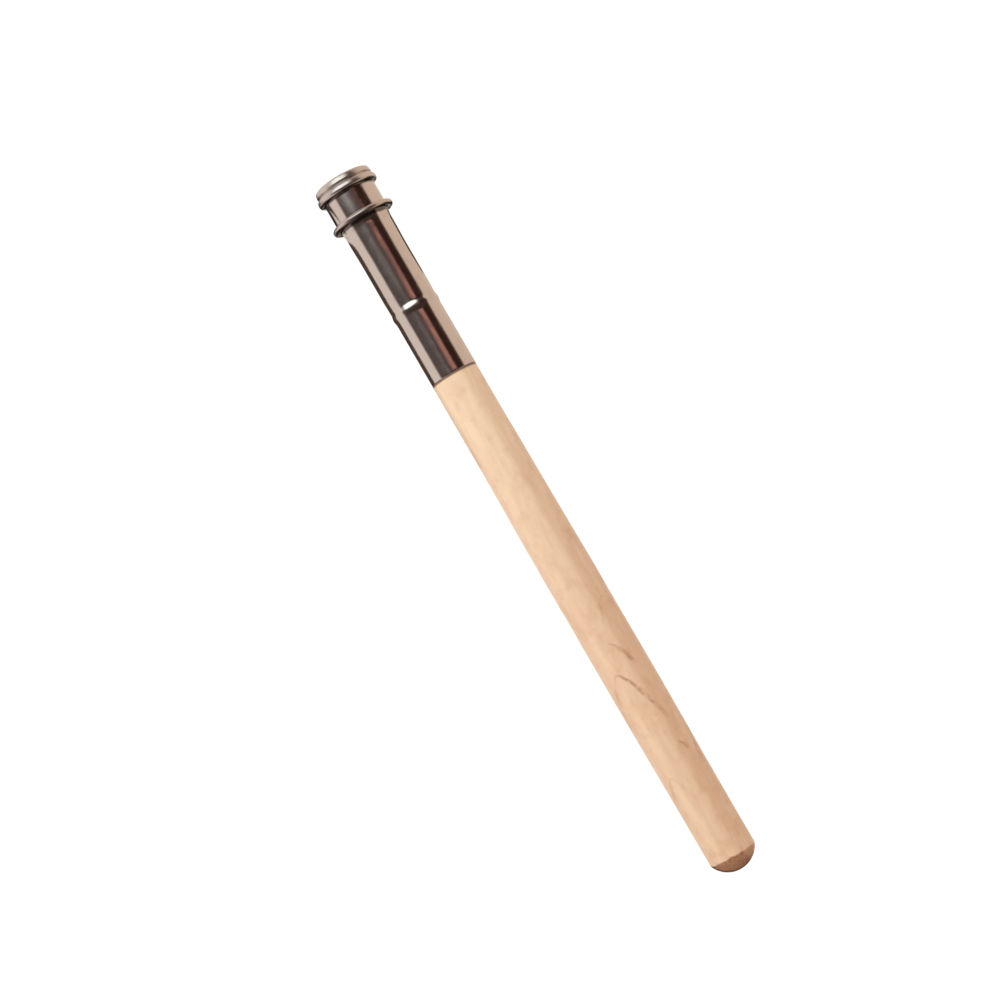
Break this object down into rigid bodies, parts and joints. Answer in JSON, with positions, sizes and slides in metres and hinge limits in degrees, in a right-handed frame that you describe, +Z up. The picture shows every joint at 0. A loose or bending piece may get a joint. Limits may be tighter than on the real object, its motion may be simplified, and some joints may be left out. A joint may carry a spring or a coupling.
{
  "type": "pencil extender",
  "caption": "Slim turned wooden handle with a slotted metal socket that takes a short pencil, and a sliding ring that clamps the jaws on it.",
  "frame": {"origin": "On the axis, at the end face of the handle's tenon inside the tube, where the pencil's end comes to rest", "axes": "+X along the axis and out of the mouth that takes the pencil; +Y across the axis, through the slots between the jaws; +Z up when the extender lies on a table with its slots at its sides"},
  "size_m": [0.125, 0.0108, 0.0108],
  "materials": {
    "wood": "smoothly turned light wood under a thin satin varnish",
    "nickel_tube": "bright nickel plate on thin sheet metal",
    "nickel_ring": "bright nickel plate on round wire"
  },
  "bodies": {
    "handle": {"handle": "wood", "tube": "nickel_tube"},
    "slide_ring": {"slide_ring": "nickel_ring"}
  },
  "joints": [
    {"name": "ring_slide", "type": "slide", "parent": "handle", "child": "slide_ring", "axis": [1, 0, 0], "range_m": [-0.0284, 0.0036]}
  ]
}
